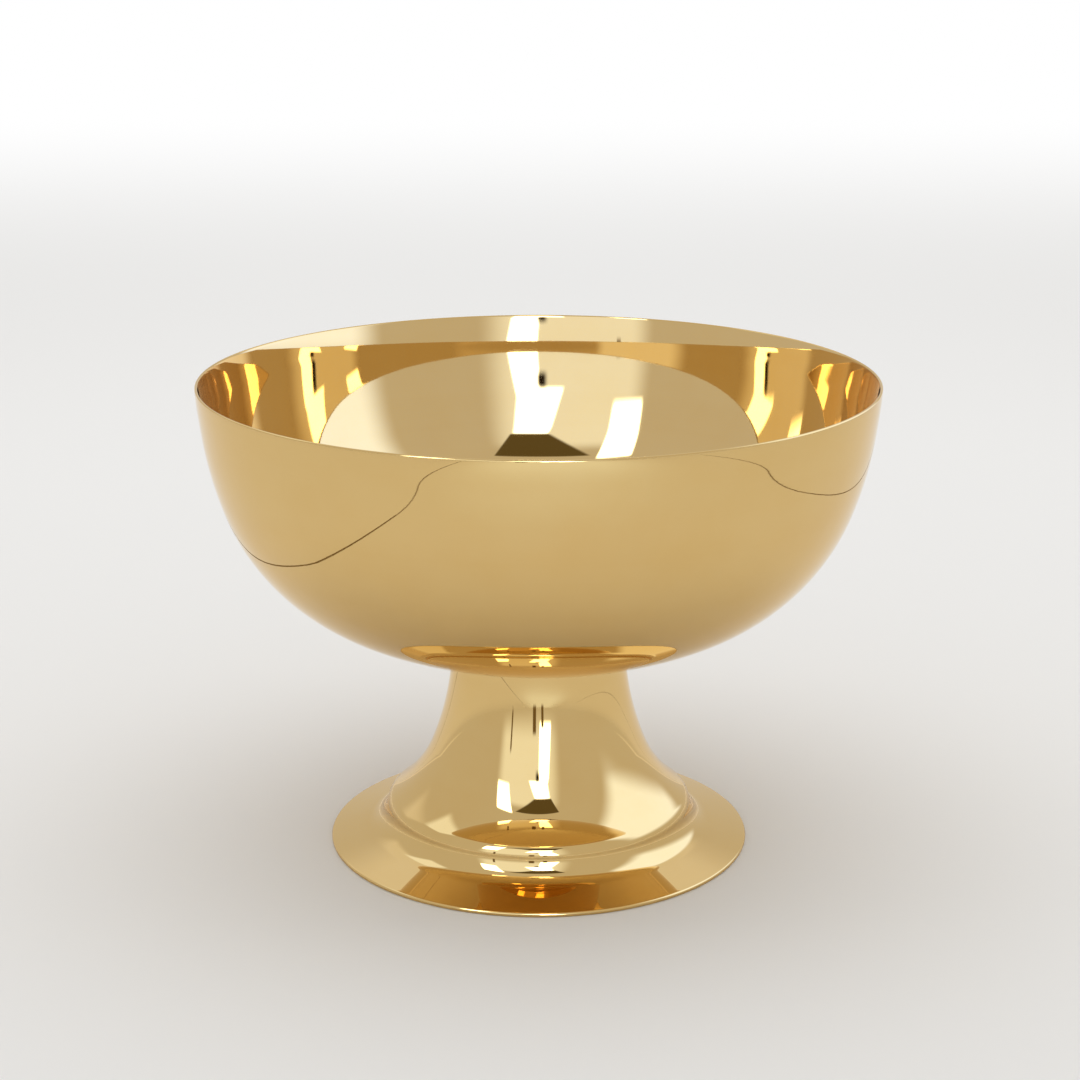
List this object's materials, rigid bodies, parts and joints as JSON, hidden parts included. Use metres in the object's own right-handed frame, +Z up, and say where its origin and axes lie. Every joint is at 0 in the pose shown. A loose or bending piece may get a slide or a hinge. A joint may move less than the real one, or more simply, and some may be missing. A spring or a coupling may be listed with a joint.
{
  "type": "ciborium",
  "caption": "Open ciborium: a wide polished bowl with a lightly turned-out lip on a hollow trumpet foot with a rolled moulding and a shallow flange, clamped by a stud and nut inside the foot.",
  "frame": {"origin": "on the vessel's axis, in the plane that the foot stands on", "axes": "+Z up along the axis of revolution; X and Y are alike"},
  "size_m": [0.14, 0.14, 0.1],
  "materials": {
    "polished_gold": "mirror-polished gold plate on spun brass",
    "turned_brass": "turned brass, plain",
    "zinc_steel": "zinc-plated steel"
  },
  "bodies": {
    "root": {"bowl": "polished_gold", "foot": "polished_gold", "stud_boss": "turned_brass", "threaded_stud": "zinc_steel", "clamp_cup": "turned_brass", "spring_washer": "zinc_steel", "hex_nut": "zinc_steel"}
  },
  "joints": []
}
